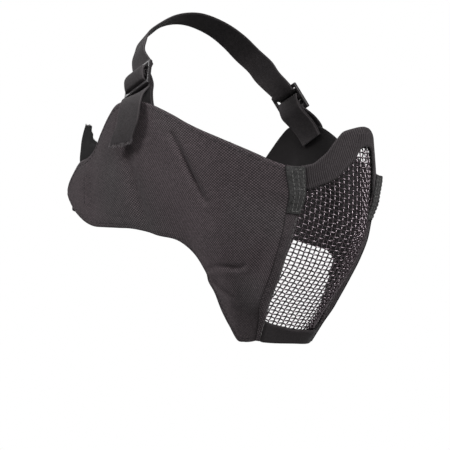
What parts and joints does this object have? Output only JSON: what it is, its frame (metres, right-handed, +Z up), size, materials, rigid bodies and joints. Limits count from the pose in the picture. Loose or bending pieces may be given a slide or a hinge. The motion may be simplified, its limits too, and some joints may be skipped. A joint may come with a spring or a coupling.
{
  "type": "mesh face mask",
  "caption": "Half face mask with a bow-shaped woven wire front, cloth wings that reach back past the ears, and webbing straps over the head and round the nape.",
  "frame": {"origin": "on the vertical axis of the head that the mask is worn on, just under the level of the ears: the place that holds it up", "axes": "+Z up, -Y the way the face looks, -X the wearer's right side; the mask is symmetric about X = 0"},
  "size_m": [0.1886, 0.2359, 0.2407],
  "materials": {
    "wire": "semi-gloss black coated wire",
    "band_cloth": "ribbed nylon cloth",
    "tape": "flat woven tape",
    "wing_cloth": "plain-weave nylon, matt",
    "slider_plastic": "glossy moulded",
    "webbing": "matt elastic webbing"
  },
  "bodies": {
    "root": {"mesh_panel": "wire", "nose_band": "band_cloth", "chin_band": "band_cloth", "edge_strip_right": "tape", "edge_strip_left": "tape", "corner_tab_right": "tape", "corner_tab_left": "tape", "side_panel_right": "wing_cloth", "side_panel_left": "wing_cloth", "slider_right": "slider_plastic", "slider_left": "slider_plastic", "strap_tab_right": "webbing", "strap_tab_left": "webbing", "head_strap": "webbing", "nape_strap": "webbing", "nape_tail_right": "webbing", "nape_tail_left": "webbing"}
  },
  "joints": []
}
